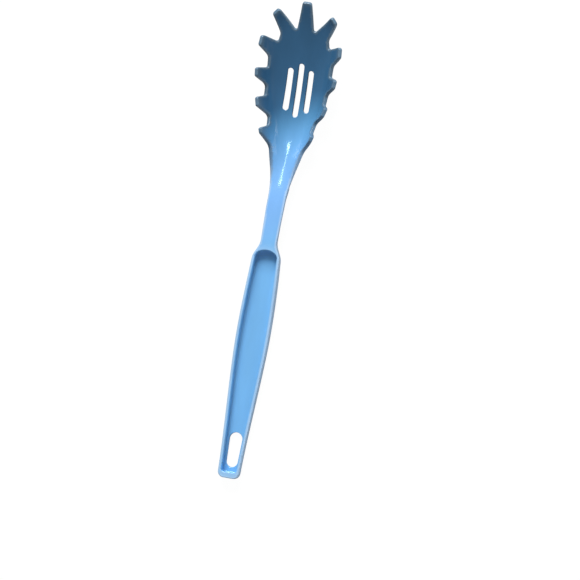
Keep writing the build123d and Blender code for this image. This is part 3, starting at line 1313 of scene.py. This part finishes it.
        # Of a Mix node of colours, the inputs 6 and 7 are the two colours, and the output 2 is the result.
        mixed = {"Factor": rim_share, 6: tone_and_painted_shade, 7: edge}
        with_painted_edges = add_node(tree, "Mix", {"data_type": "RGBA"}, mixed).outputs[2]
        pattern = {"Flow": self.flow, "Grain": self.grain}
        surface = add_node(tree, "Group", {"node_tree": moulded_grain()}, pattern).outputs
        brightness = self.spread(tree, surface["Tone"], self.brightness_span)
        streaked = add_node(tree, "HueSaturation", {}, {"Color": with_painted_edges, "Value": brightness}).outputs["Color"]
        tree.links.new(streaked, shader.inputs["Base Color"])
        gloss = self.spread(tree, surface["Cloud"], self.roughness_span)
        worn = reckon(tree, "MULTIPLY_ADD", rim, self.rim_roughness, gloss)
        tree.links.new(worn, shader.inputs["Roughness"])
        relief = {"Strength": self.grain_strength, "Distance": self.grain_height, "Height": surface["Height"]}
        tree.links.new(add_node(tree, "Bump", {}, relief).outputs["Normal"], shader.inputs["Normal"])
        return material

    def dress(self, piece: bpy.types.Object) -> None:
        """Give the finish to a piece."""
        piece.data.materials.append(self.material())


@dataclass
class Table:
    """The white table that the tool lies on."""

    half_size: float = 3.0
    grey: float = 0.42
    roughness: float = 0.8
    glow: float = 1.08
    glow_share: float = 0.9

    def build(self) -> bpy.types.Object:
        """Make the table top, white to the camera under a faint shadow, and grey to other rays.

        Returns:
            The table top.
        """
        mesh = bpy.data.meshes.new("table_top")
        reach = self.half_size
        corners = [(-reach, -reach, 0), (reach, -reach, 0), (reach, reach, 0), (-reach, reach, 0)]
        mesh.from_pydata(corners, [], [(0, 1, 2, 3)])
        table = bpy.data.objects.new("table_top", mesh)
        bpy.context.scene.collection.objects.link(table)
        material = bpy.data.materials.new("white_table")
        material.use_nodes = True
        tree = material.node_tree
        shader = tree.nodes["Principled BSDF"]
        shader.inputs["Base Color"].default_value = (self.grey, self.grey, self.grey, 1)
        shader.inputs["Roughness"].default_value = self.roughness
        seen = add_node(tree, "LightPath", {}, {}).outputs["Is Camera Ray"]
        share = reckon(tree, "MULTIPLY", seen, self.glow_share)
        glow = add_node(tree, "Emission", {}, {"Strength": self.glow}).outputs["Emission"]
        mix = add_node(tree, "MixShader", {}, {0: share, 1: shader.outputs["BSDF"], 2: glow})
        tree.links.new(mix.outputs["Shader"], tree.nodes["Material Output"].inputs["Surface"])
        mesh.materials.append(material)
        return table


@dataclass(frozen=True)
class Lamp:
    """A flat lamp that faces the middle of the tool.

    Its size is its width, and its length towards the zenith. Place and size are metres, and the power is
    watts. One that isn't in the gloss lights the tool without a reflection of its own.
    """

    name: str
    place: Triple
    size: Span
    power: float
    tint: Triple = (1.0, 1.0, 1.0)
    in_gloss: bool = True

    def hang(self) -> None:
        """Add the lamp to the scene."""
        light = bpy.data.lights.new(self.name, "AREA")
        light.shape = "RECTANGLE"
        light.size, light.size_y = self.size
        light.energy = self.power
        light.color = self.tint
        lamp = bpy.data.objects.new(self.name, light)
        lamp.location = self.place
        lamp.rotation_euler = Vector(self.place).to_track_quat("Z", "Y").to_euler()
        lamp.visible_glossy = self.in_gloss
        bpy.context.scene.collection.objects.link(lamp)


@dataclass
class Studio:
    """A low sky, a soft lamp beyond the head, and a narrow one that draws the long highlight on the heel.

    Two weak cards, to the right of the handle and beyond its butt, lift its right wall and its recess's end.
    """

    sky_strength: float = 0.17
    backdrop_strength: float = 1.0
    lamps: tuple[Lamp, ...] = (
        Lamp("soft_lamp", (1.42, 0.32, 1.04), (0.9, 0.9), 52.0),
        Lamp("spark_lamp", (0.785, 0.335, 1.325), (0.075, 0.21), 1.5, tint=(0.72, 1.0, 1.0)),
        Lamp("side_card", (-0.08, -0.60, 0.16), (0.5, 0.2), 1.4, in_gloss=False),
        Lamp("end_card", (-1.0, 0.0, 0.55), (0.5, 0.5), 2.5, in_gloss=False),
    )

    def build(self) -> None:
        """Set up the sky, which is white to the camera and low to other rays, and hang the lamps."""
        world = bpy.data.worlds.new("soft_sky")
        world.use_nodes = True
        tree = world.node_tree
        sky = tree.nodes["Background"]
        sky.inputs["Color"].default_value = (1, 1, 1, 1)
        seen = add_node(tree, "LightPath", {}, {}).outputs["Is Camera Ray"]
        reach = {"Value": seen, "To Min": self.sky_strength, "To Max": self.backdrop_strength}
        tree.links.new(add_node(tree, "MapRange", {}, reach).outputs["Result"], sky.inputs["Strength"])
        bpy.context.scene.world = world
        for lamp in self.lamps:
            lamp.hang()
            LOG.info("light: %s", lamp.name)


@dataclass
class PhotoCamera:
    """A long lens square to the handle, rolled a little about the tool's axis.

    The butt of the handle lies at butt_px in the 580-pixel picture, and the axis leans there from upright.
    Angles are radians, distance and far_clip are metres, and the sensor's width is millimetres.
    """

    frame_px: float = 580.0
    mm_per_px: float = 0.665
    butt_px: Span = (227.0, 478.4)
    axis_lean: float = radians(9.90)
    roll: float = radians(11.4)
    distance: float = 4.0
    sensor: float = 36.0
    far_clip: float = 20.0

    def build(self, server: PastaServer) -> None:
        """Add the camera and make it the scene's.

        The directions are those of the picture in the drawing frame, turned with the tool as it lies.

        Args:
            server: the moulding that the camera looks at.
        """
        axis = Vector((1, 0, 0))
        across = Vector((0, -cos(self.roll), -sin(self.roll)))
        right = axis * sin(self.axis_lean) + across * cos(self.axis_lean)
        up = axis * cos(self.axis_lean) - across * sin(self.axis_lean)
        centre = self.frame_px / 2
        to_the_right = right * (centre - self.butt_px[0]) * self.mm_per_px
        upwards = up * (self.butt_px[1] - centre) * self.mm_per_px
        target = to_the_right + upwards
        towards = right.cross(up)
        target = target - towards * (target.z / towards.z)
        lie = Matrix.Rotation(-server.rest_angle(), 3, "Y")
        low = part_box(NODE)[0]
        butt_top = Vector((low.x, 0, server.handle.butt_depth * cos(server.rest_angle()) * MM))
        right, up, towards = (lie @ direction for direction in (right, up, towards))
        target = butt_top + lie @ target * MM
        camera = bpy.data.cameras.new("photo_camera")
        camera.sensor_width = self.sensor
        camera.lens = self.sensor * self.distance / (self.frame_px * self.mm_per_px * MM)
        camera.clip_end = self.far_clip
        holder = bpy.data.objects.new("photo_camera", camera)
        turned = Matrix((right, up, towards)).transposed().to_4x4()
        holder.matrix_world = Matrix.Translation(target + towards * self.distance) @ turned
        bpy.context.scene.collection.objects.link(holder)
        bpy.context.scene.camera = holder


def main() -> None:
    """Build the tool, its table, its light and its camera."""
    logging.basicConfig(level=logging.INFO, format="%(name)s: %(message)s")
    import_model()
    bpy.context.scene.view_settings.view_transform = "Standard"
    server = PastaServer()
    moulding = server.build()
    BluePlastic().dress(moulding)
    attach(moulding, "root")
    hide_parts(NODE)
    table = Table().build()
    LOG.info("stage: %s", table.name)
    Studio().build()
    PhotoCamera().build(server)


if __name__ == "__main__":
    main()
